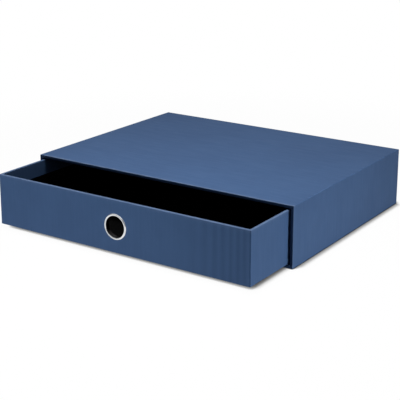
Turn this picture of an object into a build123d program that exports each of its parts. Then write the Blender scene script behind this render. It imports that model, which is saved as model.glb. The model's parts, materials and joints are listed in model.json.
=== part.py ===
from build123d import *
import os

# File box with one drawer: a slip casing that is closed at the back and open at the mouth, and a
# tray that slides in it.  Both are greyboard panels, held by paper stays at their corners, covered
# outside with embossed paper and lined inside.  A two-piece metal eyelet is the finger pull.
#
# Frame: origin at the centre of the casing's underside, +X to the right, +Y to the back, +Z up.
# The mouth faces -Y.  The tray stands pulled out by drawer_opening.

os.makedirs("parts", exist_ok=True)

# ---------------------------------------------------------------- driving dimensions, mm
casing_width = 330.0
casing_depth = 250.0
casing_height = 66.0
casing_board = 3.0           # greyboard of the casing

cover_paper = 0.2            # embossed covering paper
lining_paper = 0.2           # smooth lining paper
fold_radius = 0.8            # outer radius of every papered edge

mouth_turn_in = 18.0         # covering paper carried round the mouth into the casing
back_turn_over = 15.0        # covering paper carried over the back panel
casing_turn_under = 15.0     # covering paper carried under the casing
panel_inset = 2.5            # back and bottom sheets end this far from the edges

drawer_board = 2.5           # greyboard of the tray
side_clearance = 1.6         # tray to casing wall, each side, when it is centred
side_offset = -0.8           # the tray lies this far from the middle
floor_clearance = 0.3
ceiling_clearance = 1.7
back_clearance = 0.4         # tray to casing back, with the tray flush at the mouth
drawer_opening = 70.0        # how far the tray stands pulled out

rim_turn_in = 17.0           # covering paper carried over the rim into the tray
drawer_turn_under = 15.0     # covering paper carried under the tray

stay_paper = 0.1             # gummed stay on an outer corner, pressed flush into the boards
stay_leg = 14.0
stay_end_gap = 2.0           # a stay stops short of the board's ends

eyelet_bore_radius = 11.3
eyelet_flange_width = 2.7    # from the bore outward
eyelet_metal = 0.5
eyelet_dome = 1.2            # how far the flange stands out
eyelet_set_width = 1.6       # barrel end, set flat over the washer
eyelet_set_bevel = 0.3
eyelet_hole_clearance = 0.1  # eyelet barrel to the punched hole

# ---------------------------------------------------------------- casing, worked out
board_bevel = fold_radius - 2 * cover_paper    # the glued paper rounds what the bevel leaves

mouth_y = -casing_depth / 2
back_y = casing_depth / 2
wrap_back = back_y - cover_paper
wrap_height = casing_height - cover_paper
turn_in_end = mouth_y + mouth_turn_in

shell_width = casing_width - 2 * cover_paper
shell_front = mouth_y + cover_paper
shell_back = back_y - 2 * cover_paper
shell_bottom = 2 * cover_paper
shell_top = casing_height - cover_paper
shell_mid_y = (shell_front + shell_back) / 2
shell_mid_z = (shell_bottom + shell_top) / 2
shell_height = shell_top - shell_bottom

bay_width = shell_width - 2 * casing_board
bay_floor = shell_bottom + casing_board
bay_ceiling = shell_top - casing_board
bay_back = shell_back - casing_board
bay_mid_z = (bay_floor + bay_ceiling) / 2
bay_height = bay_ceiling - bay_floor

wall_paper = max(cover_paper, lining_paper)
clear_width = bay_width - 2 * wall_paper
clear_floor = bay_floor + wall_paper
clear_ceiling = bay_ceiling - wall_paper
clear_back = bay_back - lining_paper

# ---------------------------------------------------------------- tray, worked out
drawer_width = clear_width - 2 * side_clearance
drawer_length = clear_back - mouth_y - back_clearance
drawer_bottom = clear_floor + floor_clearance
drawer_top = clear_ceiling - ceiling_clearance
drawer_front = mouth_y - drawer_opening
drawer_back = drawer_front + drawer_length
drawer_x = side_offset
drawer_mid_y = (drawer_front + drawer_back) / 2
drawer_wrap_bottom = drawer_bottom + lining_paper

tray_width = drawer_width - 2 * cover_paper
tray_front = drawer_front + cover_paper
tray_back = drawer_back - cover_paper
tray_length = tray_back - tray_front
tray_bottom = drawer_wrap_bottom + cover_paper
tray_top = drawer_top - cover_paper

well_width = tray_width - 2 * drawer_board
well_front = tray_front + drawer_board
well_back = tray_back - drawer_board
well_length = well_back - well_front
well_floor = tray_bottom + drawer_board
lining_top = drawer_top - rim_turn_in

stay_inner_bevel = board_bevel - stay_paper * (2 - 2 ** 0.5)

# ---------------------------------------------------------------- eyelet, worked out
eyelet_z = (drawer_bottom + drawer_top) / 2
eyelet_flange_radius = eyelet_bore_radius + eyelet_flange_width
barrel_radius = eyelet_bore_radius + eyelet_metal
eyelet_set_radius = barrel_radius + eyelet_set_width
eyelet_hole_radius = barrel_radius + eyelet_hole_clearance
front_inner_face = well_front + wall_paper
washer_back_face = front_inner_face + eyelet_metal

# ---------------------------------------------------------------- planes that part the panels
bay_floor_plane = Plane.XY.offset(bay_floor)
bay_ceiling_plane = Plane.XY.offset(bay_ceiling)
bay_left_plane = Plane.YZ.offset(-bay_width / 2)
bay_right_plane = Plane.YZ.offset(bay_width / 2)
bay_back_plane = Plane.XZ.offset(-bay_back)

well_floor_plane = Plane.XY.offset(well_floor)
well_left_plane = Plane.YZ.offset(drawer_x - well_width / 2)
well_right_plane = Plane.YZ.offset(drawer_x + well_width / 2)
well_front_plane = Plane.XZ.offset(-well_front)
well_back_plane = Plane.XZ.offset(-well_back)


def extrude_section(y_from, y_to, x, z, width, height, mode=Mode.ADD):
    """A rectangular section centred on x and z, carried from y_from back to y_to."""
    with BuildSketch(Plane.XZ.offset(-y_to)) as section:
        with Locations((x, z)):
            Rectangle(width, height)
    extrude(section.sketch, amount=y_to - y_from, mode=mode)


def extrude_plan(z_from, z_to, x, y, width, length, mode=Mode.ADD):
    """A rectangular plan centred on x and y, carried from z_from up to z_to."""
    with BuildSketch(Plane.XY.offset(z_from)) as plan:
        with Locations((x, y)):
            Rectangle(width, length)
    extrude(plan.sketch, amount=z_to - z_from, mode=mode)


def beveled_rectangle(width, height, bevel, mode):
    """A rectangle with its four corners cut at 45 degrees, put into the open sketch."""
    with BuildSketch() as outline:
        Rectangle(width, height)
        chamfer(outline.vertices(), length=bevel)
    add(outline.sketch, mode=mode)


def punch_eyelet_hole():
    """The round hole for the eyelet, through what the part has at the tray's front wall."""
    with BuildSketch(Plane.XZ.offset(-front_inner_face)) as hole:
        with Locations((drawer_x, eyelet_z)):
            Circle(eyelet_hole_radius)
    extrude(hole.sketch, amount=front_inner_face - drawer_front, mode=Mode.SUBTRACT)


# ================================================================ casing
# All five panels together: a block with soft outer edges, hollowed from the mouth.
with BuildPart() as casing_shell:
    extrude_plan(shell_bottom, shell_top, 0, shell_mid_y, shell_width, shell_back - shell_front)
    chamfer(casing_shell.edges(), length=board_bevel)
    extrude_section(shell_front, bay_back, 0, bay_mid_z, bay_width, bay_height, Mode.SUBTRACT)
    mouth_face = casing_shell.faces().filter_by(Plane.XZ).sort_by(Axis.Y)[0]
    chamfer(mouth_face.inner_wires()[0].edges(), length=board_bevel)

# Stays run along the four long outer corners.
with BuildPart() as casing_corner_stays:
    with BuildSketch(Plane.XZ.offset(-(shell_back - stay_end_gap))):
        with Locations((0, shell_mid_z)):
            with GridLocations(shell_width - stay_leg, shell_height - stay_leg, 2, 2):
                Rectangle(stay_leg, stay_leg)
            beveled_rectangle(shell_width, shell_height, board_bevel, Mode.INTERSECT)
            beveled_rectangle(shell_width - 2 * stay_paper, shell_height - 2 * stay_paper,
                              stay_inner_bevel, Mode.SUBTRACT)
    extrude(amount=shell_back - shell_front - 2 * stay_end_gap)
casing_corner_stays.part.label = "casing_corner_stays"
export_step(casing_corner_stays.part, "parts/casing_corner_stays.step")

# The top and bottom panels run the full width, and the side panels stand between them.
with BuildPart() as casing_top_board:
    add(casing_shell.part)
    split(bisect_by=bay_ceiling_plane, keep=Keep.TOP)
    add(casing_corner_stays.part, mode=Mode.SUBTRACT)
casing_top_board.part.label = "casing_top_board"
export_step(casing_top_board.part, "parts/casing_top_board.step")

with BuildPart() as casing_bottom_board:
    add(casing_shell.part)
    split(bisect_by=bay_floor_plane, keep=Keep.BOTTOM)
    add(casing_corner_stays.part, mode=Mode.SUBTRACT)
casing_bottom_board.part.label = "casing_bottom_board"
export_step(casing_bottom_board.part, "parts/casing_bottom_board.step")

with BuildPart() as casing_left_board:
    add(casing_shell.part)
    split(bisect_by=bay_ceiling_plane, keep=Keep.BOTTOM)
    split(bisect_by=bay_floor_plane, keep=Keep.TOP)
    split(bisect_by=bay_left_plane, keep=Keep.BOTTOM)
    add(casing_corner_stays.part, mode=Mode.SUBTRACT)
casing_left_board.part.label = "casing_left_board"
export_step(casing_left_board.part, "parts/casing_left_board.step")

with BuildPart() as casing_right_board:
    add(casing_shell.part)
    split(bisect_by=bay_ceiling_plane, keep=Keep.BOTTOM)
    split(bisect_by=bay_floor_plane, keep=Keep.TOP)
    split(bisect_by=bay_right_plane, keep=Keep.TOP)
    add(casing_corner_stays.part, mode=Mode.SUBTRACT)
casing_right_board.part.label = "casing_right_board"
export_step(casing_right_board.part, "parts/casing_right_board.step")

# The back panel is glued in between the other four.
with BuildPart() as casing_back_board:
    add(casing_shell.part)
    split(bisect_by=bay_ceiling_plane, keep=Keep.BOTTOM)
    split(bisect_by=bay_floor_plane, keep=Keep.TOP)
    split(bisect_by=bay_left_plane, keep=Keep.TOP)
    split(bisect_by=bay_right_plane, keep=Keep.BOTTOM)
    split(bisect_by=bay_back_plane, keep=Keep.BOTTOM)
casing_back_board.part.label = "casing_back_board"
export_step(casing_back_board.part, "parts/casing_back_board.step")

# The covering paper goes round the panels and the mouth, ends inside as a turn-in, and leaves a
# window at the back and at the underside.
with BuildPart() as casing_wrap_paper:
    extrude_plan(cover_paper, casing_height, 0, (mouth_y + wrap_back) / 2, casing_width,
                 wrap_back - mouth_y)
    fillet(casing_wrap_paper.edges(), radius=fold_radius)
    extrude_section(mouth_y, turn_in_end, 0, bay_mid_z, bay_width - 2 * cover_paper,
                    bay_height - 2 * cover_paper, Mode.SUBTRACT)
    mouth_face = casing_wrap_paper.faces().filter_by(Plane.XZ).sort_by(Axis.Y)[0]
    fillet(mouth_face.inner_wires()[0].edges(), radius=fold_radius)
    extrude_section(turn_in_end, bay_back, 0, bay_mid_z, bay_width, bay_height, Mode.SUBTRACT)
    add(casing_shell.part, mode=Mode.SUBTRACT)
    extrude_section(shell_back, wrap_back, 0, shell_mid_z, casing_width - 2 * back_turn_over,
                    wrap_height - 2 * back_turn_over, Mode.SUBTRACT)
    extrude_plan(cover_paper, shell_bottom, 0, shell_mid_y, casing_width - 2 * casing_turn_under,
                 casing_depth - 2 * casing_turn_under, Mode.SUBTRACT)
casing_wrap_paper.part.label = "casing_wrap_paper"
export_step(casing_wrap_paper.part, "parts/casing_wrap_paper.step")

# The back sheet lies over the turned-over edge, and its filler makes up the window.
with BuildPart() as casing_back_paper:
    extrude_section(shell_back, wrap_back, 0, shell_mid_z, casing_width - 2 * back_turn_over,
                    wrap_height - 2 * back_turn_over)
    extrude_section(wrap_back, back_y, 0, shell_mid_z, casing_width - 2 * panel_inset,
                    wrap_height - 2 * panel_inset)
casing_back_paper.part.label = "casing_back_paper"
export_step(casing_back_paper.part, "parts/casing_back_paper.step")

# The bottom sheet, made in the same way, is the face that the box stands on.
with BuildPart() as casing_bottom_paper:
    extrude_plan(cover_paper, shell_bottom, 0, shell_mid_y, casing_width - 2 * casing_turn_under,
                 casing_depth - 2 * casing_turn_under)
    extrude_plan(0, cover_paper, 0, shell_mid_y, casing_width - 2 * panel_inset,
                 casing_depth - 2 * panel_inset)
casing_bottom_paper.part.label = "casing_bottom_paper"
export_step(casing_bottom_paper.part, "parts/casing_bottom_paper.step")

# The lining takes over from the turn-in and covers the five inner faces.
with BuildPart() as casing_lining:
    extrude_section(turn_in_end, bay_back, 0, bay_mid_z, bay_width, bay_height)
    extrude_section(turn_in_end, clear_back, 0, bay_mid_z, bay_width - 2 * lining_paper,
                    bay_height - 2 * lining_paper, Mode.SUBTRACT)
casing_lining.part.label = "casing_lining"
export_step(casing_lining.part, "parts/casing_lining.step")

# ================================================================ tray
# All five panels together: a block with soft outer edges, hollowed from the rim.
with BuildPart() as tray_shell:
    extrude_plan(tray_bottom, tray_top, drawer_x, drawer_mid_y, tray_width, tray_length)
    chamfer(tray_shell.edges(), length=board_bevel)
    extrude_plan(well_floor, tray_top, drawer_x, drawer_mid_y, well_width, well_length,
                 Mode.SUBTRACT)
    rim_face = tray_shell.faces().filter_by(Plane.XY).sort_by(Axis.Z)[-1]
    chamfer(rim_face.inner_wires()[0].edges(), length=board_bevel)

# Stays run up the four upright outer corners.
with BuildPart() as drawer_corner_stays:
    with BuildSketch(Plane.XY.offset(tray_bottom + stay_end_gap)):
        with Locations((drawer_x, drawer_mid_y)):
            with GridLocations(tray_width - stay_leg, tray_length - stay_leg, 2, 2):
                Rectangle(stay_leg, stay_leg)
            beveled_rectangle(tray_width, tray_length, board_bevel, Mode.INTERSECT)
            beveled_rectangle(tray_width - 2 * stay_paper, tray_length - 2 * stay_paper,
                              stay_inner_bevel, Mode.SUBTRACT)
    extrude(amount=tray_top - tray_bottom - 2 * stay_end_gap)
drawer_corner_stays.part.label = "drawer_corner_stays"
export_step(drawer_corner_stays.part, "parts/drawer_corner_stays.step")

# The base panel carries the walls, and the side walls stand between the front and the back.
with BuildPart() as drawer_base_board:
    add(tray_shell.part)
    split(bisect_by=well_floor_plane, keep=Keep.BOTTOM)
    add(drawer_corner_stays.part, mode=Mode.SUBTRACT)
drawer_base_board.part.label = "drawer_base_board"
export_step(drawer_base_board.part, "parts/drawer_base_board.step")

with BuildPart() as drawer_front_board:
    add(tray_shell.part)
    split(bisect_by=well_floor_plane, keep=Keep.TOP)
    split(bisect_by=well_front_plane, keep=Keep.TOP)
    add(drawer_corner_stays.part, mode=Mode.SUBTRACT)
    punch_eyelet_hole()
drawer_front_board.part.label = "drawer_front_board"
export_step(drawer_front_board.part, "parts/drawer_front_board.step")

with BuildPart() as drawer_back_board:
    add(tray_shell.part)
    split(bisect_by=well_floor_plane, keep=Keep.TOP)
    split(bisect_by=well_back_plane, keep=Keep.BOTTOM)
    add(drawer_corner_stays.part, mode=Mode.SUBTRACT)
drawer_back_board.part.label = "drawer_back_board"
export_step(drawer_back_board.part, "parts/drawer_back_board.step")

with BuildPart() as drawer_left_board:
    add(tray_shell.part)
    split(bisect_by=well_floor_plane, keep=Keep.TOP)
    split(bisect_by=well_front_plane, keep=Keep.BOTTOM)
    split(bisect_by=well_back_plane, keep=Keep.TOP)
    split(bisect_by=well_left_plane, keep=Keep.BOTTOM)
    add(drawer_corner_stays.part, mode=Mode.SUBTRACT)
drawer_left_board.part.label = "drawer_left_board"
export_step(drawer_left_board.part, "parts/drawer_left_board.step")

with BuildPart() as drawer_right_board:
    add(tray_shell.part)
    split(bisect_by=well_floor_plane, keep=Keep.TOP)
    split(bisect_by=well_front_plane, keep=Keep.BOTTOM)
    split(bisect_by=well_back_plane, keep=Keep.TOP)
    split(bisect_by=well_right_plane, keep=Keep.TOP)
    add(drawer_corner_stays.part, mode=Mode.SUBTRACT)
drawer_right_board.part.label = "drawer_right_board"
export_step(drawer_right_board.part, "parts/drawer_right_board.step")

# The covering paper goes up the walls and over the rim, ends inside as a turn-in, and leaves a
# window under the base.
with BuildPart() as drawer_wrap_paper:
    extrude_plan(drawer_wrap_bottom, drawer_top, drawer_x, drawer_mid_y, drawer_width, drawer_length)
    fillet(drawer_wrap_paper.edges(), radius=fold_radius)
    extrude_plan(lining_top, drawer_top, drawer_x, drawer_mid_y, well_width - 2 * cover_paper,
                 well_length - 2 * cover_paper, Mode.SUBTRACT)
    rim_face = drawer_wrap_paper.faces().filter_by(Plane.XY).sort_by(Axis.Z)[-1]
    fillet(rim_face.inner_wires()[0].edges(), radius=fold_radius)
    extrude_plan(well_floor, lining_top, drawer_x, drawer_mid_y, well_width, well_length,
                 Mode.SUBTRACT)
    add(tray_shell.part, mode=Mode.SUBTRACT)
    extrude_plan(drawer_wrap_bottom, tray_bottom, drawer_x, drawer_mid_y,
                 drawer_width - 2 * drawer_turn_under, drawer_length - 2 * drawer_turn_under,
                 Mode.SUBTRACT)
    punch_eyelet_hole()
drawer_wrap_paper.part.label = "drawer_wrap_paper"
export_step(drawer_wrap_paper.part, "parts/drawer_wrap_paper.step")

# The sheet that the tray slides on, with its filler in the window.
with BuildPart() as drawer_bottom_paper:
    extrude_plan(drawer_wrap_bottom, tray_bottom, drawer_x, drawer_mid_y,
                 drawer_width - 2 * drawer_turn_under, drawer_length - 2 * drawer_turn_under)
    extrude_plan(drawer_bottom, drawer_wrap_bottom, drawer_x, drawer_mid_y,
                 drawer_width - 2 * panel_inset, drawer_length - 2 * panel_inset)
drawer_bottom_paper.part.label = "drawer_bottom_paper"
export_step(drawer_bottom_paper.part, "parts/drawer_bottom_paper.step")

with BuildPart() as drawer_floor_lining:
    extrude_plan(well_floor, well_floor + lining_paper, drawer_x, drawer_mid_y, well_width,
                 well_length)
drawer_floor_lining.part.label = "drawer_floor_lining"
export_step(drawer_floor_lining.part, "parts/drawer_floor_lining.step")

# A band round the four inner walls, from the floor sheet up to the turn-in.
with BuildPart() as drawer_wall_lining:
    extrude_plan(well_floor + lining_paper, lining_top, drawer_x, drawer_mid_y, well_width,
                 well_length)
    extrude_plan(well_floor + lining_paper, lining_top, drawer_x, drawer_mid_y,
                 well_width - 2 * lining_paper, well_length - 2 * lining_paper, Mode.SUBTRACT)
    punch_eyelet_hole()
drawer_wall_lining.part.label = "drawer_wall_lining"
export_step(drawer_wall_lining.part, "parts/drawer_wall_lining.step")

# ================================================================ eyelet
# One sheet of metal: a domed flange on the front, a barrel through the wall, and an end that is
# set flat over the washer.  The profile's x is the radius, and its y runs inward from the paper.
barrel_length = washer_back_face - drawer_front
flange_mid = (eyelet_flange_radius + eyelet_bore_radius) / 2
flange_flat = eyelet_flange_width / 4 - eyelet_metal / 2
set_face = barrel_length + eyelet_metal
eyelet_center = (drawer_x, drawer_front, eyelet_z)

with BuildPart() as eyelet_ring:
    with BuildSketch(Plane(origin=eyelet_center, x_dir=(1, 0, 0), z_dir=(0, 0, 1))):
        with BuildLine():
            dome = ThreePointArc((eyelet_flange_radius, 0), (flange_mid, -eyelet_dome),
                                 (eyelet_bore_radius, 0))
            set_end = Polyline(dome @ 1, (eyelet_bore_radius, set_face - eyelet_set_bevel),
                               (eyelet_bore_radius + eyelet_set_bevel, set_face),
                               (eyelet_set_radius, set_face), (eyelet_set_radius, barrel_length),
                               (barrel_radius, barrel_length), (barrel_radius, 0))
            Polyline(set_end @ 1, (flange_mid - flange_flat, eyelet_metal - eyelet_dome),
                     (flange_mid + flange_flat, eyelet_metal - eyelet_dome),
                     (eyelet_flange_radius - eyelet_metal, 0), dome @ 0)
        make_face()
    revolve(axis=Axis(eyelet_center, (0, 1, 0)))
eyelet_ring.part.label = "eyelet_ring"
export_step(eyelet_ring.part, "parts/eyelet_ring.step")

with BuildPart() as eyelet_washer:
    with BuildSketch(Plane.XZ.offset(-washer_back_face)):
        with Locations((drawer_x, eyelet_z)):
            Circle(eyelet_flange_radius)
            Circle(eyelet_hole_radius, mode=Mode.SUBTRACT)
    extrude(amount=eyelet_metal)
eyelet_washer.part.label = "eyelet_washer"
export_step(eyelet_washer.part, "parts/eyelet_washer.step")
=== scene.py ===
# %% [markdown]
# # A file box with a drawer
# A slip casing made of board, closed at the back, with a tray that slides in it. Both are
# covered with blue embossed paper, the inside is lined with black paper, and a nickel eyelet
# in the front takes a fingertip. The shapes come from the CAD frame. This lesson gives each
# sheet, board and metal piece its finish, and then lights the box and sets up its camera.

# %% Load the frame
import bpy
import json
import math
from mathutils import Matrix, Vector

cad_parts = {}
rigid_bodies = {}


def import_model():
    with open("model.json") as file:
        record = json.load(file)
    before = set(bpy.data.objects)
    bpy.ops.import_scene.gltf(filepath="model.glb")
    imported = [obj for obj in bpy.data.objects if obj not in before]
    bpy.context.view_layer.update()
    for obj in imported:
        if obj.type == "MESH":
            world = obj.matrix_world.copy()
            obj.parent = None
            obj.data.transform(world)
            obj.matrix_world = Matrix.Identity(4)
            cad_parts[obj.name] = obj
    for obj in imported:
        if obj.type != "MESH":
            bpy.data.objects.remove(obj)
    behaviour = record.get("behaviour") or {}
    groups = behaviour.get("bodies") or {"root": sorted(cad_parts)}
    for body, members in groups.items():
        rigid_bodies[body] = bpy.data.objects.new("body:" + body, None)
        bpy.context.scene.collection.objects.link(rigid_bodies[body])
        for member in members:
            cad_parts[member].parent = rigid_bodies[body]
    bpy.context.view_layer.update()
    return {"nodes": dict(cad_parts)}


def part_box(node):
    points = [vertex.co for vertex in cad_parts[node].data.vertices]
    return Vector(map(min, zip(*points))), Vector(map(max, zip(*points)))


for startup_object in list(bpy.data.objects):
    bpy.data.objects.remove(startup_object)

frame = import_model()
nodes = frame["nodes"]

# %% [markdown]
# ## The camera
# The place, turn, tilt and lens were solved from the corners of the casing and of the tray.
# The picture was taken with the lens shifted down, which keeps upright edges nearly parallel,
# so the camera has a small vertical shift too.

# %% Set up the camera
CAMERA_PLACE = (0.6329, -0.9791, 0.3923)
CAMERA_TILT_DOWN = 15.00
CAMERA_TURN_LEFT = 34.08
LENS_MM = 94.77
SENSOR_MM = 36.0
LENS_SHIFT_DOWN = 0.15
SIGHT_END = 50.0

camera_data = bpy.data.cameras.new("camera")
camera_data.sensor_width = SENSOR_MM
camera_data.lens = LENS_MM
camera_data.shift_y = -LENS_SHIFT_DOWN
camera_data.clip_end = SIGHT_END
camera = bpy.data.objects.new("camera", camera_data)
camera.location = CAMERA_PLACE
camera.rotation_euler = (math.radians(90 - CAMERA_TILT_DOWN), 0, math.radians(CAMERA_TURN_LEFT))
bpy.context.scene.collection.objects.link(camera)
bpy.context.scene.camera = camera
print("Camera at", CAMERA_PLACE, "lens", LENS_MM, "mm")

# %% [markdown]
# ## Small helpers for node trees
# Every finish below is a tree of shader nodes. Placing a node and feeding a socket are the only
# two moves, so each gets one short helper. The kinds of node that come again and again get a
# helper of their own on top of these two.


# %% Helpers: place a node and feed a socket
def feed(tree, socket, value):
    """Links another node's output to a socket, or sets a number or a colour on it."""
    if isinstance(value, bpy.types.NodeSocket):
        tree.links.new(value, socket)
    else:
        socket.default_value = value


def place(tree, kind, settings=None, **inputs):
    """Adds a node, sets its options, and feeds the inputs that are named."""
    node = tree.nodes.new(kind)
    for option, value in (settings or {}).items():
        setattr(node, option, value)
    for name, value in inputs.items():
        feed(tree, node.inputs[name.replace("_", " ")], value)
    return node


print("Placing and feeding are ready")


# %% Helpers: numbers and vectors
def maths(tree, operation, *values, clamp=False):
    """One Math node; each value is a number or another node's output."""
    node = place(tree, "ShaderNodeMath", {"operation": operation, "use_clamp": clamp})
    for socket, value in zip(node.inputs, values):
        feed(tree, socket, value)
    return node.outputs[0]


def vector_maths(tree, operation, *values):
    """One Vector Math node; gives its vector, or the number of a dot product or a length."""
    node = place(tree, "ShaderNodeVectorMath", {"operation": operation})
    for socket, value in zip(node.inputs, values):
        feed(tree, socket, value)
    return node.outputs["Value" if operation in ("DOT_PRODUCT", "LENGTH") else "Vector"]


def split(tree, vector):
    """The X, Y and Z of a vector."""
    return place(tree, "ShaderNodeSeparateXYZ", Vector=vector).outputs


def join(tree, x, y, z=0.0):
    """A vector made of an X, a Y and a Z."""
    return place(tree, "ShaderNodeCombineXYZ", X=x, Y=y, Z=z).outputs[0]


def remap(tree, value, low, high, to_low, to_high):
    """Spreads value from low..high onto to_low..to_high with soft ends."""
    return place(tree, "ShaderNodeMapRange", {"interpolation_type": "SMOOTHSTEP"}, Value=value,
                 From_Min=low, From_Max=high, To_Min=to_low, To_Max=to_high).outputs["Result"]


print("Number and vector helpers are ready")

# %% Helpers: places, noise and colours
NOISE_LOW, NOISE_HIGH = 0.3, 0.7    # most of Blender's noise lies between these


def surface(tree):
    """A point's place on its piece, as Object, and the way that it looks, as Normal."""
    return place(tree, "ShaderNodeTexCoord").outputs


def noise(tree, spot, scale, detail, roughness=0.5, dimensions="3D"):
    """Soft noise, with its middle at a half."""
    return place(tree, "ShaderNodeTexNoise", {"noise_dimensions": dimensions}, Vector=spot,
                 Scale=scale, Detail=detail, Roughness=roughness).outputs[0]


def blend_colours(tree, share, first, second):
    """Mixes two colours; a share of 1 is all second."""
    node = place(tree, "ShaderNodeMix", {"data_type": "RGBA"})
    colour_sockets = (node.inputs[0], node.inputs[6], node.inputs[7])
    for socket, value in zip(colour_sockets, (share, first, second)):
        feed(tree, socket, value)
    return node.outputs[2]


print("Place, noise and colour helpers are ready")

# %% Helpers: node groups
FLOAT, VECTOR = "NodeSocketFloat", "NodeSocketVector"


def new_group(name, inputs, outputs):
    """An empty shader node group; inputs are (name, kind, value) and outputs (name, kind)."""
    group = bpy.data.node_groups.new(name, "ShaderNodeTree")
    for title, kind, value in inputs:
        socket = group.interface.new_socket(title, in_out="INPUT", socket_type=kind)
        socket.default_value = value
    for title, kind in outputs:
        group.interface.new_socket(title, in_out="OUTPUT", socket_type=kind)
    start = group.nodes.new("NodeGroupInput")
    end = group.nodes.new("NodeGroupOutput")
    return group, start.outputs, end.inputs


def use_group(tree, group, **inputs):
    """Places a node group in a material and feeds its named inputs."""
    return place(tree, "ShaderNodeGroup", {"node_tree": group}, **inputs).outputs


print("Group helpers are ready")

# %% [markdown]
# ## Shared effect: which way the ribs of the paper run
# The covering paper is embossed with fine ribs. On every wall they stand upright, and over the
# top of the casing they carry on from the sides. So the count across the ribs goes by x on a
# face that looks to the front or back, and by y on any other face. Reading this from the place
# and the face's direction means that no unwrapping is needed.

# %% Group: rib directions
LOOKS_ALONG = 0.7    # a face looks along an axis when that part of its direction is over this

rib_run, given, result = new_group("rib_run", [], [("Across", FLOAT), ("Along", FLOAT)])
point = surface(rib_run)
spot_axes = split(rib_run, point["Object"])
look_axes = split(rib_run, point["Normal"])
looks_front = maths(rib_run, "GREATER_THAN", maths(rib_run, "ABSOLUTE", look_axes["Y"]),
                    LOOKS_ALONG)
looks_up = maths(rib_run, "GREATER_THAN", maths(rib_run, "ABSOLUTE", look_axes["Z"]), LOOKS_ALONG)
across = place(rib_run, "ShaderNodeMix", Factor=looks_front, A=spot_axes["Y"], B=spot_axes["X"])
along = place(rib_run, "ShaderNodeMix", Factor=looks_up, A=spot_axes["Z"], B=spot_axes["X"])
feed(rib_run, result["Across"], across.outputs[0])
feed(rib_run, result["Along"], along.outputs[0])
print("Group made:", rib_run.name)

# %% [markdown]
# ## Shared effect: embossed ribs and paper fibres
# A steel roller presses the ribs into the paper, 0.6 mm apart, and the fibres make them a
# little uneven. A sine gives the ribs, and noise that is stretched along them gives the fibres.
# Streaks of tone run the same way, each a few ribs wide. The group hands out a height for the
# bump, and the streaks.

# %% Group: ribs
RIB_SHARE = 0.55         # of the height; the fibres have the rest
FIBRE_SCALE = 0.9
STREAK_PER_RIB = 0.22
STREAK_PER_FIBRE = 0.12

rib_emboss, given, result = new_group(
    "rib_emboss",
    [("Across", FLOAT, 0.0), ("Along", FLOAT, 0.0), ("Rib Pitch", FLOAT, 0.0006),
     ("Fibre Length", FLOAT, 0.006)],
    [("Height", FLOAT), ("Streaks", FLOAT)])
rib_count = maths(rib_emboss, "DIVIDE", given["Across"], given["Rib Pitch"])
fibre_count = maths(rib_emboss, "DIVIDE", given["Along"], given["Fibre Length"])
fibres = noise(rib_emboss, join(rib_emboss, rib_count, fibre_count), FIBRE_SCALE, 3.0, 0.6, "2D")
ribs = maths(rib_emboss, "SINE", maths(rib_emboss, "MULTIPLY", rib_count, math.tau))
ribs = maths(rib_emboss, "MULTIPLY_ADD", ribs, 0.5, 0.5)
relief = maths(rib_emboss, "MULTIPLY_ADD", ribs, RIB_SHARE,
               maths(rib_emboss, "MULTIPLY", fibres, 1.0 - RIB_SHARE))
streak_spot = join(rib_emboss, maths(rib_emboss, "MULTIPLY", rib_count, STREAK_PER_RIB),
                   maths(rib_emboss, "MULTIPLY", fibre_count, STREAK_PER_FIBRE))
streaks = noise(rib_emboss, streak_spot, 1.0, 2.0, 0.55, "2D")
feed(rib_emboss, result["Height"], relief)
feed(rib_emboss, result["Streaks"], remap(rib_emboss, streaks, NOISE_LOW, NOISE_HIGH, 0.0, 1.0))
print("Group made:", rib_emboss.name)

# %% [markdown]
# ## Shared effect: painted highlights and shade at the folds
# The rounded folds catch the light, so a painted highlight makes them lighter at the casing's
# mouth and the tray's rim. A point is near a fold when it is near two faces of its sheet's box
# at once, so when the second smallest of its three distances to the faces is small. It must
# also be near the one side of the box that the group is given, and the painted highlight is
# strongest on level faces. The group also finds the narrow faces that look out at that side,
# and the strip beside each upright fold of the front, where shade is painted.

# %% Group: painted fold highlights and shade
PATCHES_PER_METRE = 90.0
PATCH_LEAST = 0.7
LEVEL_FACE = 0.9         # a face this level gets the whole painted highlight
UPRIGHT_HIGHLIGHT = 0.3        # the share of it that an upright face gets
LOOKS_TO_FRONT = -0.5    # a face looks to the front when its direction's y is under this

fold_highlight, given, result = new_group(
    "fold_highlight",
    [("Box Centre", VECTOR, (0, 0, 0)), ("Half Size", VECTOR, (1, 1, 1)),
     ("Worn Side", VECTOR, (0, 0, 1)), ("Width", FLOAT, 0.0015), ("Reach", FLOAT, 0.0015),
     ("Crease Width", FLOAT, 0.0014)],
    [("Highlight", FLOAT), ("Edge", FLOAT), ("Crease", FLOAT)])


def nearness(tree, distance, reach):
    """1 at no distance, falling to 0 at the reach."""
    return maths(tree, "SUBTRACT", 1.0, maths(tree, "DIVIDE", distance, reach), clamp=True)


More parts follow.
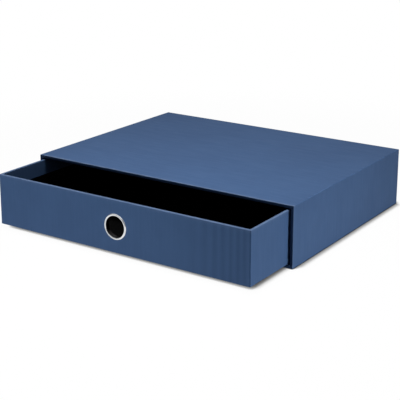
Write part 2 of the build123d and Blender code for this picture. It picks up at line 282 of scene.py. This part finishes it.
point = surface(fold_highlight)
look_axes = split(fold_highlight, point["Normal"])
offset = vector_maths(fold_highlight, "SUBTRACT", point["Object"], given["Box Centre"])
depth = split(fold_highlight, vector_maths(fold_highlight, "SUBTRACT", given["Half Size"],
                                     vector_maths(fold_highlight, "ABSOLUTE", offset)))
lesser = maths(fold_highlight, "MINIMUM", depth["X"], depth["Y"])
greater = maths(fold_highlight, "MAXIMUM", depth["X"], depth["Y"])
second = maths(fold_highlight, "MAXIMUM", lesser, maths(fold_highlight, "MINIMUM", greater, depth["Z"]))
side_depth = maths(fold_highlight, "SUBTRACT",
                   vector_maths(fold_highlight, "DOT_PRODUCT", given["Half Size"],
                                vector_maths(fold_highlight, "ABSOLUTE", given["Worn Side"])),
                   vector_maths(fold_highlight, "DOT_PRODUCT", offset, given["Worn Side"]))
near = maths(fold_highlight, "MULTIPLY", nearness(fold_highlight, second, given["Width"]),
             nearness(fold_highlight, side_depth, given["Reach"]))
uneven = remap(fold_highlight, noise(fold_highlight, point["Object"], PATCHES_PER_METRE, 3.0),
               NOISE_LOW, NOISE_HIGH, PATCH_LEAST, 1.0)
facing_up = remap(fold_highlight, maths(fold_highlight, "ABSOLUTE", look_axes["Z"]),
                0.0, LEVEL_FACE, UPRIGHT_HIGHLIGHT, 1.0)
# painted highlight on the folds near the given side
highlight = maths(fold_highlight, "MULTIPLY", near, maths(fold_highlight, "MULTIPLY", uneven, facing_up))
# painted shade on the narrow faces that look out at the given side
looks_out = vector_maths(fold_highlight, "DOT_PRODUCT", point["Normal"], given["Worn Side"])
edge = maths(fold_highlight, "MULTIPLY", maths(fold_highlight, "GREATER_THAN", looks_out, LOOKS_ALONG),
             maths(fold_highlight, "LESS_THAN", side_depth, given["Reach"]))
# painted shade beside each upright fold of the front
crease = maths(fold_highlight, "MULTIPLY", nearness(fold_highlight, greater, given["Crease Width"]),
               maths(fold_highlight, "LESS_THAN", look_axes["Y"], LOOKS_TO_FRONT))
feed(fold_highlight, result["Highlight"], highlight)
feed(fold_highlight, result["Edge"], edge)
feed(fold_highlight, result["Crease"], crease)
print("Group made:", fold_highlight.name)

# %% [markdown]
# ## Shared effect: slow clouds
# No dyed sheet is quite even. Two sizes of soft noise shift the tone a few percent, over a
# hand's width and over a finger's width.

# %% Group: clouds
WIDE_SHARE = 0.65        # of the cloud; the narrow noise has the rest
NARROW_TIMES = 6.0

clouds, given, result = new_group("clouds", [("Size", FLOAT, 0.08)], [("Cloud", FLOAT)])
spot = surface(clouds)["Object"]
cloud_scale = maths(clouds, "DIVIDE", 1.0, given["Size"])
wide = noise(clouds, spot, cloud_scale, 2.0)
narrow = noise(clouds, spot, maths(clouds, "MULTIPLY", cloud_scale, NARROW_TIMES), 3.0)
both = maths(clouds, "MULTIPLY_ADD", wide, WIDE_SHARE,
             maths(clouds, "MULTIPLY", narrow, 1.0 - WIDE_SHARE))
feed(clouds, result["Cloud"], remap(clouds, both, 0.35, 0.65, 0.0, 1.0))
print("Group made:", clouds.name)

# %% [markdown]
# ## Shared effect: painted sheen bands
# Near the end of the sheet the ribs show soft upright bands of sheen, painted as darker
# stripes. They are 12 mm apart where they begin to show, and closer towards the fold. A
# cosine of a count that grows faster and faster gives them.

# %% Group: painted sheen bands
sheen_bands, given, result = new_group(
    "sheen_bands",
    [("First Band", FLOAT, 0.1075), ("Bands Per Metre", FLOAT, 81.0), ("Growth", FLOAT, 660.0),
     ("Fade In", FLOAT, 0.070), ("Fade Length", FLOAT, 0.050)],
    [("Band", FLOAT)])
point = surface(sheen_bands)
from_left = split(sheen_bands, point["Object"])["X"]
front_look = split(sheen_bands, point["Normal"])["Y"]
past_first = maths(sheen_bands, "SUBTRACT", from_left, given["First Band"])
band_rate = maths(sheen_bands, "MULTIPLY_ADD", past_first, given["Growth"],
                  given["Bands Per Metre"])
band_count = maths(sheen_bands, "MULTIPLY_ADD", past_first, band_rate, 0.5)
wave = maths(sheen_bands, "COSINE", maths(sheen_bands, "MULTIPLY", band_count, math.tau))
wave = maths(sheen_bands, "MULTIPLY_ADD", wave, -0.5, 0.5)
shown = maths(sheen_bands, "DIVIDE", maths(sheen_bands, "SUBTRACT", from_left, given["Fade In"]),
              given["Fade Length"], clamp=True)
shown = maths(sheen_bands, "MULTIPLY", shown,
              maths(sheen_bands, "LESS_THAN", front_look, LOOKS_TO_FRONT))
feed(sheen_bands, result["Band"], maths(sheen_bands, "MULTIPLY", wave, shown))
print("Group made:", sheen_bands.name)

# %% [markdown]
# ## Small helpers for finishes
# Each finish is a material with one Principled shader, and goes on a CAD node in place of the
# plain material that the node came with. The groups and the eyelet ask for the box that a piece
# fills, which is read from the node, so that no size is written twice.


# %% Helpers for finishes
def new_material(name):
    """A material with only a Principled shader, and its tree."""
    material = bpy.data.materials.new(name)
    material.use_nodes = True
    tree = material.node_tree
    shader = tree.nodes["Principled BSDF"]
    return material, tree, shader


def add_bump(tree, shader, height, strength, depth):
    """Feeds a height to the shader's normal, as a bump of a depth in metres."""
    bump = place(tree, "ShaderNodeBump", Height=height, Strength=strength, Distance=depth)
    feed(tree, shader.inputs["Normal"], bump.outputs[0])


def piece_box(node_name):
    """Centre and half size of a node's box."""
    low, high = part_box(node_name)
    return tuple((low + high) / 2), tuple((high - low) / 2)


def finish_node(node_name, material):
    """Puts one material on a CAD node, in place of the plain one that it came with."""
    mesh = nodes[node_name].data
    mesh.materials.clear()
    mesh.materials.append(material)


print("Finish helpers are ready")

# %% [markdown]
# ## The covering paper
# Deep blue paper with hardly any shine. The tone is built up in layers: the dyed blue with its
# clouds and the streaks of its ribs, painted sheen bands, painted shade on the creases and the
# mouth's edges, and last a painted highlight on the folds. The roughness follows the streaks,
# and the emboss goes to a bump.

# %% Covering paper
PAPER_BLUE = (0.0590, 0.1150, 0.2400, 1.0)
PAPER_BLUE_DEEP = (0.0535, 0.1040, 0.2200, 1.0)
# painted highlight for the folds
PAPER_HIGHLIGHT = (0.1700, 0.2300, 0.3500, 1.0)
# painted shade for the mouth's narrow edges and the creases, and the dark stripes of the painted
# sheen bands
PAPER_PAINTED_SHADE = (0.0060, 0.0180, 0.0550, 1.0)
STREAK_TONE = 0.3        # of the tone; the clouds have the rest
PAPER_ROUGH, PAPER_ROUGH_IN_STREAK = 0.66, 0.60
PAPER_SPECULAR = 0.10
RIB_STRENGTH = 0.35
RIB_DEPTH = 0.00003
FOLD_REACH = 0.0045


def covering_paper(node_name, painted_side, fold_width, fold_share, edge_share=0.0, crease_share=0.0,
                   band_share=0.0):
    """The blue embossed paper, with a painted highlight along the folds of the given side.
    Painted shade darkens the narrow faces of that side and the creases, and painted sheen bands
    darken stripes of the front, each by its own share."""
    material, tree, shader = new_material(node_name + "_finish")
    run = use_group(tree, rib_run)
    rib = use_group(tree, rib_emboss, Across=run["Across"], Along=run["Along"])
    cloud = use_group(tree, clouds)["Cloud"]
    centre, half = piece_box(node_name)
    fold = use_group(tree, fold_highlight, Box_Centre=centre, Half_Size=half, Worn_Side=painted_side,
                     Width=fold_width, Reach=FOLD_REACH)
    tone = maths(tree, "MULTIPLY_ADD", rib["Streaks"], STREAK_TONE,
                 maths(tree, "MULTIPLY", cloud, 1.0 - STREAK_TONE))
    colour = blend_colours(tree, tone, PAPER_BLUE_DEEP, PAPER_BLUE)
    # painted sheen bands: darker stripes on the front
    if band_share:
        band = maths(tree, "MULTIPLY", use_group(tree, sheen_bands)["Band"], band_share)
        colour = blend_colours(tree, band, colour, PAPER_PAINTED_SHADE)
    # painted shade beside the upright folds of the front
    if crease_share:
        crease = maths(tree, "MULTIPLY", fold["Crease"], crease_share)
        colour = blend_colours(tree, crease, colour, PAPER_PAINTED_SHADE)
    # painted highlight on the folds
    highlight = maths(tree, "MULTIPLY", fold["Highlight"], fold_share)
    # painted shade on the narrow faces at the mouth, which take no painted highlight
    if edge_share:
        edge_shading = maths(tree, "MULTIPLY", fold["Edge"], edge_share)
        colour = blend_colours(tree, edge_shading, colour, PAPER_PAINTED_SHADE)
        highlight = maths(tree, "MULTIPLY", highlight, maths(tree, "SUBTRACT", 1.0, fold["Edge"]))
    feed(tree, shader.inputs["Base Color"], blend_colours(tree, highlight, colour, PAPER_HIGHLIGHT))
    feed(tree, shader.inputs["Roughness"],
         remap(tree, rib["Streaks"], 0.0, 1.0, PAPER_ROUGH, PAPER_ROUGH_IN_STREAK))
    shader.inputs["Specular IOR Level"].default_value = PAPER_SPECULAR
    add_bump(tree, shader, rib["Height"], RIB_STRENGTH, RIB_DEPTH)
    return material


print("Covering paper can be made")

# %% Put the covering paper on its sheets
COVERED_SHEETS = {
    "casing_wrap_paper": dict(painted_side=(0, -1, 0), fold_width=0.0040, fold_share=1.00,
                              edge_share=0.75),
    "casing_back_paper": dict(painted_side=(0, 1, 0), fold_width=0.0010, fold_share=0.20),
    "casing_bottom_paper": dict(painted_side=(0, 0, -1), fold_width=0.0010, fold_share=0.20),
    "drawer_wrap_paper": dict(painted_side=(0, 0, 1), fold_width=0.0060, fold_share=0.65,
                              crease_share=0.60, band_share=0.15)}
for sheet, wear in COVERED_SHEETS.items():
    finish_node(sheet, covering_paper(sheet, **wear))
    print("Covering paper on", sheet)

# %% [markdown]
# ## The black lining
# Uncoated black paper: nearly no colour, nearly no shine, and a felt of short fibres that
# only shows where light grazes it.

# %% Lining paper
LINING_BLACK = (0.0020, 0.0020, 0.0021, 1.0)
LINING_FIBRE = (0.0060, 0.0060, 0.0062, 1.0)
LINING_SPECULAR = 0.02
LINING_CLOUD = 0.05
FELT_SCALE = 1400.0
FELT_FROM, FELT_FULL = 0.45, 0.75    # where the noise begins to be a fibre, and where it is one
FELT_STRENGTH = 0.4
FELT_DEPTH = 0.00005


def lining_paper():
    """Matt black paper with a fine felt of fibres."""
    material, tree, shader = new_material("lining_finish")
    felt = noise(tree, surface(tree)["Object"], FELT_SCALE, 3.0, 0.65)
    cloud = use_group(tree, clouds, Size=LINING_CLOUD)["Cloud"]
    amount = maths(tree, "MULTIPLY", remap(tree, felt, FELT_FROM, FELT_FULL, 0.0, 1.0),
                   maths(tree, "MULTIPLY_ADD", cloud, 0.5, 0.5))
    feed(tree, shader.inputs["Base Color"],
         blend_colours(tree, amount, LINING_BLACK, LINING_FIBRE))
    feed(tree, shader.inputs["Roughness"], remap(tree, felt, NOISE_LOW, NOISE_HIGH, 0.85, 0.95))
    shader.inputs["Specular IOR Level"].default_value = LINING_SPECULAR
    add_bump(tree, shader, felt, FELT_STRENGTH, FELT_DEPTH)
    return material


black_lining = lining_paper()
for sheet in ("casing_lining", "drawer_wall_lining", "drawer_floor_lining",
              "drawer_bottom_paper"):
    finish_node(sheet, black_lining)
    print("Lining paper on", sheet)

# %% [markdown]
# ## Greyboard and gummed stays
# The boards and the stays are all under paper, but a repairer would meet them. Greyboard is
# pressed from waste paper, so it is full of light and dark flecks. The stays are brown kraft
# paper with long fibres, so they borrow the ribs' group with a wider and longer grain.

# %% Greyboard
BOARD_GREY = (0.30, 0.285, 0.26, 1.0)
BOARD_LIGHT = (0.46, 0.44, 0.41, 1.0)
BOARD_FLECK = (0.10, 0.09, 0.085, 1.0)
BOARD_FIBRE_SCALE = 700.0
BOARD_STRENGTH = 0.5
BOARD_DEPTH = 0.0001
FLECK_SCALE = 520.0
FLECK_HEART, FLECK_EDGE = 0.08, 0.16    # radii, as shares of a fleck's own cell
FLECK_SHARE = 0.6


def greyboard():
    """Waste-paper board: clouds of fibre, with dark flecks."""
    material, tree, shader = new_material("greyboard_finish")
    spot = surface(tree)["Object"]
    fibre = noise(tree, spot, BOARD_FIBRE_SCALE, 4.0)
    cells = place(tree, "ShaderNodeTexVoronoi", Vector=spot, Scale=FLECK_SCALE)
    fleck = remap(tree, cells.outputs["Distance"], FLECK_HEART, FLECK_EDGE, 1.0, 0.0)
    colour = blend_colours(tree, remap(tree, fibre, NOISE_LOW, NOISE_HIGH, 0.0, 1.0),
                           BOARD_GREY, BOARD_LIGHT)
    colour = blend_colours(tree, maths(tree, "MULTIPLY", fleck, FLECK_SHARE), colour, BOARD_FLECK)
    feed(tree, shader.inputs["Base Color"], colour)
    feed(tree, shader.inputs["Roughness"], remap(tree, fibre, NOISE_LOW, NOISE_HIGH, 0.86, 0.96))
    add_bump(tree, shader, fibre, BOARD_STRENGTH, BOARD_DEPTH)
    return material


grey_board = greyboard()
for node_name in nodes:
    if node_name.endswith("_board"):
        finish_node(node_name, grey_board)
        print("Greyboard on", node_name)

# %% Gummed stays
KRAFT = (0.40, 0.26, 0.15, 1.0)
KRAFT_LIGHT = (0.54, 0.38, 0.23, 1.0)
KRAFT_GRAIN = 0.0015
KRAFT_FIBRE = 0.012
KRAFT_STRENGTH = 0.3


def stay_tape():
    """Brown gummed paper with long fibres."""
    material, tree, shader = new_material("stay_tape_finish")
    run = use_group(tree, rib_run)
    rib = use_group(tree, rib_emboss, Across=run["Across"], Along=run["Along"],
                    Rib_Pitch=KRAFT_GRAIN, Fibre_Length=KRAFT_FIBRE)
    feed(tree, shader.inputs["Base Color"],
         blend_colours(tree, rib["Streaks"], KRAFT, KRAFT_LIGHT))
    feed(tree, shader.inputs["Roughness"], remap(tree, rib["Streaks"], 0.0, 1.0, 0.7, 0.8))
    add_bump(tree, shader, rib["Height"], KRAFT_STRENGTH, RIB_DEPTH)
    return material


brown_stay = stay_tape()
for node_name in nodes:
    if node_name.endswith("_stays"):
        finish_node(node_name, brown_stay)
        print("Gummed paper on", node_name)

# %% [markdown]
# ## The nickel eyelet
# The eyelet is pressed from sheet and nickel plated. Turned tools leave rings that are finer
# than a hair, so the bump runs in circles about its centre. The plating is bright, with a
# breath of smudge. The barrel is painted dark and dull: painted shade, for the dark inside of
# the box that it faces. A point is in the barrel when its radius is smaller than the flange's.

# %% Eyelet
NICKEL = (0.80, 0.815, 0.83, 1.0)
NICKEL_SMUDGE = (0.66, 0.675, 0.69, 1.0)
SMUDGE_SIZE = 0.008
# painted shade for the barrel
BARREL_PAINTED_SHADE = (0.012, 0.012, 0.012, 1.0)
EYELET_FLANGE = 0.0027
BARREL_FADE = (0.0003, 0.0007)    # how far out from the bore dull turns to bright
RING_FACE = (1, 0, 1)             # the rings lie in the plane of x and z
RINGS_PER_METRE = 9000.0
RING_WANDER = 3000.0
RING_STRENGTH = 0.12
RING_DEPTH = 0.00002


def nickel(node_name, smooth):
    """Bright plating with turned rings about the piece's own centre."""
    material, tree, shader = new_material(node_name + "_finish")
    centre, half = piece_box(node_name)
    offset = vector_maths(tree, "SUBTRACT", surface(tree)["Object"], centre)
    radius = vector_maths(tree, "LENGTH", vector_maths(tree, "MULTIPLY", offset, RING_FACE))
    ring_spot = join(tree, maths(tree, "MULTIPLY", radius, RINGS_PER_METRE),
                     maths(tree, "MULTIPLY", split(tree, offset)["Y"], RING_WANDER))
    rings = noise(tree, ring_spot, 1.0, 2.0, dimensions="2D")
    smudge = use_group(tree, clouds, Size=SMUDGE_SIZE)["Cloud"]
    bore_radius = half[0] - EYELET_FLANGE
    # painted shade in the barrel
    barrel = remap(tree, radius, bore_radius + BARREL_FADE[0], bore_radius + BARREL_FADE[1],
                   1.0, 0.0)
    plating = blend_colours(tree, smudge, NICKEL, NICKEL_SMUDGE)
    feed(tree, shader.inputs["Base Color"], blend_colours(tree, barrel, plating, BARREL_PAINTED_SHADE))
    shader.inputs["Metallic"].default_value = 1.0
    feed(tree, shader.inputs["Roughness"], remap(tree, smudge, 0.0, 1.0, smooth, smooth + 0.1))
    add_bump(tree, shader, rings, RING_STRENGTH, RING_DEPTH)
    return material


finish_node("eyelet_ring", nickel("eyelet_ring", 0.16))
finish_node("eyelet_washer", nickel("eyelet_washer", 0.3))
print("Eyelet is finished")

# %% [markdown]
# ## The floor
# The box stands on a white table. For camera, mirror and glass rays the table's brightness is
# mostly its own, so it reads as clean white. It keeps two shadows. One is the lamps' own, in
# the small part that is lit like any surface. The other is the dark line beside the box, from
# an Ambient Occlusion node, which tells how much of the near room a point of the table still
# sees. The node looks to the front left and up, so the line is faint along the front and strong
# along the right side, as in the photograph. The table is black where the open share is under
# OPEN_LEAST, and clean white where it is over OPEN_MOST.

# %% Floor
FLOOR_HALF = 6.0
FLOOR_DROP = 0.0002

floor_mesh = bpy.data.meshes.new("floor")
floor_mesh.from_pydata(
    [(-FLOOR_HALF, -FLOOR_HALF, -FLOOR_DROP), (FLOOR_HALF, -FLOOR_HALF, -FLOOR_DROP),
     (FLOOR_HALF, FLOOR_HALF, -FLOOR_DROP), (-FLOOR_HALF, FLOOR_HALF, -FLOOR_DROP)],
    [], [(0, 1, 2, 3)])
floor = bpy.data.objects.new("floor", floor_mesh)
bpy.context.scene.collection.objects.link(floor)
print("Floor is", 2 * FLOOR_HALF, "m across")

# %% The floor's finish
FLOOR_GREY = (0.18, 0.18, 0.18, 1.0)
FLOOR_WHITE = (1.0, 1.0, 1.0, 1.0)
SHADOW_SHARE = 0.03      # how much of the table is lit like any surface, near the box
SHADOW_REACH = 0.016
SHADOW_LEAN = (-0.40, -0.80, 0.45)
SHADOW_SAMPLES = 32
OPEN_LEAST = 0.40
OPEN_MOST = 0.70
CONTACT_FADE = 1.5
NEAR_BOX = 0.30
FAR_FROM_BOX = 0.70


def bright_rays(tree):
    """1 for the rays that should see plain white: camera, glossy and transmission."""
    path = place(tree, "ShaderNodeLightPath").outputs
    seen = maths(tree, "MAXIMUM", path["Is Camera Ray"], path["Is Glossy Ray"])
    return maths(tree, "MAXIMUM", seen, path["Is Transmission Ray"])


def blend_shaders(tree, share, first, second, end):
    """Mixes two shaders by share, and joins them to the end of the tree."""
    mix = place(tree, "ShaderNodeMixShader")
    for socket, value in zip(mix.inputs, (share, first, second)):
        feed(tree, socket, value)
    feed(tree, end.inputs["Surface"], mix.outputs[0])


floor_material, tree, shader = new_material("floor_white")
bright = bright_rays(tree)
feed(tree, shader.inputs["Base Color"], blend_colours(tree, bright, FLOOR_GREY, FLOOR_WHITE))
shader.inputs["Roughness"].default_value = 0.9
shader.inputs["Specular IOR Level"].default_value = 0.0
open_room = place(tree, "ShaderNodeAmbientOcclusion", {"samples": SHADOW_SAMPLES},
                  Distance=SHADOW_REACH, Normal=join(tree, *SHADOW_LEAN)).outputs["AO"]
contact = maths(tree, "DIVIDE", maths(tree, "SUBTRACT", open_room, OPEN_LEAST),
                OPEN_MOST - OPEN_LEAST, clamp=True)
contact = maths(tree, "POWER", contact, CONTACT_FADE)
glow = place(tree, "ShaderNodeEmission", Color=contact, Strength=1.0)
from_box = vector_maths(tree, "LENGTH", surface(tree)["Object"])
own_white = remap(tree, from_box, NEAR_BOX, FAR_FROM_BOX, 1.0 - SHADOW_SHARE, 1.0)
blend_shaders(tree, maths(tree, "MULTIPLY", bright, own_white), shader.outputs[0],
              glow.outputs[0], tree.nodes["Material Output"])
floor_mesh.materials.append(floor_material)
print("Floor keeps", SHADOW_SHARE, "of the lamps' own shadows")

# %% [markdown]
# ## The room
# A weak, even fill from all round. What mirrors see of the room is brighter overhead than at
# the level of the table, and a dark card stands in front to the right, because polished metal
# needs something uneven to reflect.

# %% World
FILL_STRENGTH = 0.12
MIRROR_HORIZON = 0.25
MIRROR_FULL_HEIGHT = 0.8
DARK_CARD = (0.54, -0.76, 0.36)       # the way to its middle
CARD_EDGE, CARD_HEART = 0.86, 0.96    # cosines of the angle from that way
CARD_TONE = 0.05

world = bpy.data.worlds.new("studio")
world.use_nodes = True
tree = world.node_tree
fill = tree.nodes["Background"]
fill.inputs["Color"].default_value = (1.0, 1.0, 1.0, 1.0)
fill.inputs["Strength"].default_value = FILL_STRENGTH
way = place(tree, "ShaderNodeTexCoord").outputs["Generated"]
mirrored = remap(tree, split(tree, way)["Z"], 0.0, MIRROR_FULL_HEIGHT, MIRROR_HORIZON, 1.0)
toward_card = vector_maths(tree, "DOT_PRODUCT", way, DARK_CARD)
mirrored = maths(tree, "MULTIPLY", mirrored,
                 remap(tree, toward_card, CARD_EDGE, CARD_HEART, 1.0, CARD_TONE))
camera_ray = place(tree, "ShaderNodeLightPath").outputs["Is Camera Ray"]
white = place(tree, "ShaderNodeBackground", Color=maths(tree, "MAXIMUM", mirrored, camera_ray),
              Strength=1.0)
blend_shaders(tree, bright_rays(tree), fill.outputs[0], white.outputs[0],
              tree.nodes["World Output"])
bpy.context.scene.world = world
print("World fill", FILL_STRENGTH)

# %% [markdown]
# ## The lamps
# A lamp hangs high over the mouth and gives the top its light. Its beam is narrow, so the top
# darkens a little towards the back. The upright sides get theirs from low strips that stand on
# the table, one for each side. None of the strips is higher than the tray's rim, so the tray
# keeps their light out of its own inside and off the casing's mouth.


# %% Lamps
def soft_lamp(name, place_at, aim_at, wide, tall, power, beam=180.0):
    """A rectangular area lamp that looks at a point; it isn't seen itself."""
    data = bpy.data.lights.new(name, "AREA")
    data.shape = "RECTANGLE"
    data.size = wide
    data.size_y = tall
    data.spread = math.radians(beam)
    data.energy = power
    lamp = bpy.data.objects.new(name, data)
    lamp.location = place_at
    direction = Vector(aim_at) - Vector(place_at)
    lamp.rotation_euler = direction.to_track_quat("-Z", "Y").to_euler()
    lamp.visible_camera = False
    lamp.visible_glossy = False
    bpy.context.scene.collection.objects.link(lamp)
    print("Lamp", name, "at", place_at, "power", power)


soft_lamp("overhead", (0.03, -0.15, 1.40), (0.08, -0.27, 0.0), 0.3, 0.3, 2.72, beam=68.0)
soft_lamp("front_strip", (-0.10, -0.75, 0.015), (-0.10, -0.195, 0.015), 0.2, 0.03, 1.70)
soft_lamp("right_strip", (0.68, -0.13, 0.02), (0.165, -0.13, 0.02), 0.12, 0.04, 1.98)
soft_lamp("left_strip", (-0.80, 0.0, 0.02), (-0.165, 0.0, 0.02), 0.16, 0.04, 2.4)
soft_lamp("back_strip", (0.0, 0.90, 0.02), (0.0, 0.125, 0.02), 0.3, 0.04, 3.6)

# %% [markdown]
# ## The view
# The plain Standard view shows a colour about as it is written, which keeps the blue true and
# the table white.

# %% View settings
bpy.context.scene.view_settings.view_transform = "Standard"
print("View transform:", bpy.context.scene.view_settings.view_transform)
